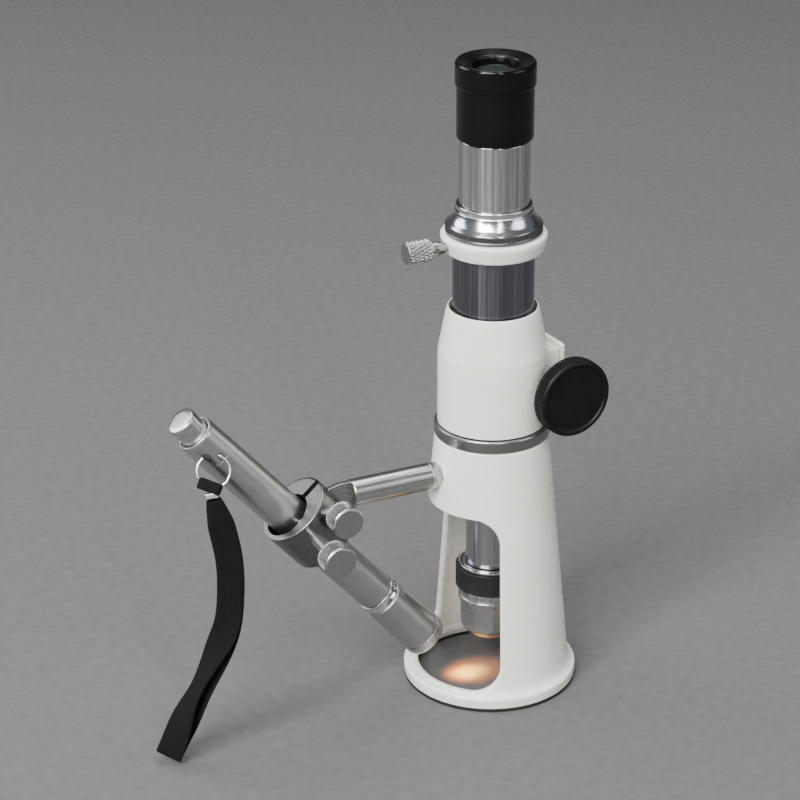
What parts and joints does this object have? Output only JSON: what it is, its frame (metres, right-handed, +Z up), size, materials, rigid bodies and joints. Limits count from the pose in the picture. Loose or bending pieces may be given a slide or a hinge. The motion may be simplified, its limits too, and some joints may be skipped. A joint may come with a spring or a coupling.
{
  "type": "portable shop microscope",
  "caption": "Standing hand microscope with a windowed cast base, rack focus, turning eyepiece holder and a pen light on a clamp arm with a wrist strap.",
  "frame": {"origin": "middle of the underside of the object's box, measured without the wrist strap", "axes": "+Z up along the optical axis, -X from the column towards the clamp arm and pen light, -Y towards the focus knob and clamp screws"},
  "size_m": [0.1697, 0.0717, 0.2346],
  "materials": {
    "white_paint": "warm white enamel, satin gloss",
    "pad_rubber": "black, matt",
    "band_steel": "satin",
    "dark_chrome": "polished",
    "bright_chrome": "polished",
    "steel": "fine turned",
    "alloy": "bead blasted, clear anodised",
    "brass": "machined",
    "grip": "black, knurled",
    "knob": "black, moulded, matt",
    "cap": "black, satin gloss",
    "inner_black": "matt black",
    "optical_glass": "coated",
    "reflector": "vacuum coated",
    "cell_jacket": "plain printed jacket",
    "webbing": "ribbed black weave"
  },
  "bodies": {
    "stand": {"base_casting": "white_paint", "base_pad": "pad_rubber", "joint_band": "band_steel", "focus_body": "white_paint", "guide_bush": "steel", "pinion_cover": "white_paint", "cover_screw_1": "steel", "cover_screw_2": "steel", "cover_screw_3": "steel", "cover_screw_4": "steel", "pinion_bush": "steel", "arm_nut": "steel", "arm_rod": "steel"},
    "tube": {"main_tube": "dark_chrome", "rack_bar": "brass", "collar_ring": "white_paint", "nose_tube": "bright_chrome", "tube_stop": "inner_black", "objective_shell": "alloy", "objective_grip": "grip", "objective_ring": "bright_chrome", "objective_front_lens": "optical_glass", "objective_rear_lens": "optical_glass"},
    "collar_screw": {"collar_screw": "steel"},
    "pinion": {"pinion_shaft": "steel", "focus_knob": "knob"},
    "eyepiece_mount": {"eyepiece_flange": "bright_chrome", "draw_tube": "bright_chrome"},
    "eyepiece": {"eyepiece_cap": "cap", "eyepiece_barrel": "inner_black", "eye_lens": "optical_glass", "field_lens": "optical_glass", "reticle_glass": "optical_glass", "reticle_ring": "brass"},
    "clamp": {"clamp_ring": "steel"},
    "swivel_screw": {"swivel_screw": "steel"},
    "light_screw": {"light_screw": "steel"},
    "pen_light": {"light_barrel": "alloy", "light_head": "alloy", "light_bezel": "alloy", "light_trim_ring": "bright_chrome", "light_window": "optical_glass", "light_reflector": "reflector", "light_bulb": "optical_glass", "light_cell_1": "cell_jacket", "light_cell_2": "cell_jacket", "light_spring": "steel", "light_tail": "alloy", "strap_keeper": "webbing", "wrist_strap": "webbing"},
    "tail_button": {"tail_button": "alloy"},
    "lanyard": {"lanyard_ring": "bright_chrome"}
  },
  "joints": [
    {"name": "tube_focus", "type": "slide", "parent": "stand", "child": "tube", "axis": [0, 0, 1], "range_m": [-0.012, 0.006]},
    {"name": "pinion_turn", "type": "hinge", "parent": "stand", "child": "pinion", "pos_m": [0.06204, 0.0056, 0.115], "axis": [0.0785, -0.9969, 0], "range_deg": [-116, 231]},
    {"name": "collar_screw_turn", "type": "hinge", "parent": "tube", "child": "collar_screw", "pos_m": [0.018, 0.0041, 0.1706], "axis": [-1, 0, 0], "range_deg": [-360, 360]},
    {"name": "eyepiece_turn", "type": "hinge", "parent": "tube", "child": "eyepiece_mount", "pos_m": [0.043, 0.0041, 0.178], "axis": [0, 0, 1], "continuous": true},
    {"name": "eyepiece_lift", "type": "slide", "parent": "eyepiece_mount", "child": "eyepiece", "axis": [0, 0, 1], "range_m": [0, 0.025]},
    {"name": "clamp_tilt", "type": "hinge", "parent": "stand", "child": "clamp", "pos_m": [-0.0231, 0.0041, 0.0848], "axis": [0, 1, 0], "range_deg": [-2, 40]},
    {"name": "swivel_screw_turn", "type": "hinge", "parent": "clamp", "child": "swivel_screw", "pos_m": [-0.0231, -0.0059, 0.0848], "axis": [0, -1, 0], "range_deg": [-360, 360]},
    {"name": "light_screw_turn", "type": "hinge", "parent": "clamp", "child": "light_screw", "pos_m": [-0.03423, -0.0159, 0.08062], "axis": [0, -1, 0], "range_deg": [-360, 360]},
    {"name": "light_slide", "type": "slide", "parent": "clamp", "child": "pen_light", "axis": [-0.6579, 0, 0.7531], "range_m": [-0.004, 0.02]},
    {"name": "tail_button_press", "type": "slide", "parent": "pen_light", "child": "tail_button", "axis": [-0.6579, 0, 0.7531], "range_m": [-0.0015, 0], "stiffness_N_per_m": 500, "springref_m": 0.001},
    {"name": "lanyard_turn", "type": "hinge", "parent": "pen_light", "child": "lanyard", "pos_m": [-0.0662, -0.0028, 0.1076], "axis": [-0.3239, -0.8407, 0.4339], "range_deg": [-40, 40]}
  ],
  "couplings": [
    {"joint": "pinion_turn", "follows": "tube_focus", "rad_per_m": -333.33}
  ]
}
